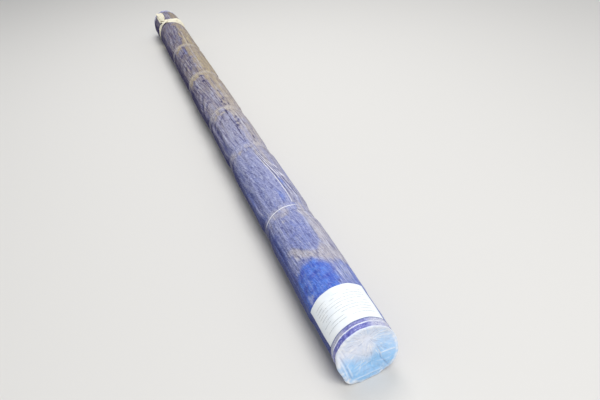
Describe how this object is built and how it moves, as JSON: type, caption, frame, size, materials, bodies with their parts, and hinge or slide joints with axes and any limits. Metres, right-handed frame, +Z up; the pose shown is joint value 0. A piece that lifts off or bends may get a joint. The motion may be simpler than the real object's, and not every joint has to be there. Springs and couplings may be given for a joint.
{
  "type": "wrapped bundle of galvanized steel rods",
  "caption": "Long round bundle of parallel galvanized steel rods in a blue woven sheet, taped along its length, with film over the ends, a paper label and a choked lifting sling.",
  "frame": {"origin": "bottom centre of the bundle's box as it lies on the floor", "axes": "+Y along the rods, from the labelled end to the sling end; +Z up; +X to the right seen from the labelled end"},
  "size_m": [0.1847, 3.6902, 0.1941],
  "materials": {
    "rod_steel": "galvanized, dull grey",
    "wrap_sheet": "woven plastic sheet, dusty",
    "end_film": "clear stretch film over blue sheet, crumpled",
    "tape": "clear packing tape, dusty",
    "label_paper": "white, matt",
    "webbing": "woven polyester webbing"
  },
  "bodies": {
    "root": {"steel_rods": "rod_steel", "blue_wrap": "wrap_sheet", "near_end_film": "end_film", "far_end_film": "end_film", "tape_band_1": "tape", "tape_band_2": "tape", "tape_band_3": "tape", "tape_band_4": "tape", "tape_band_5": "tape", "label": "label_paper", "lifting_sling": "webbing"}
  },
  "joints": []
}
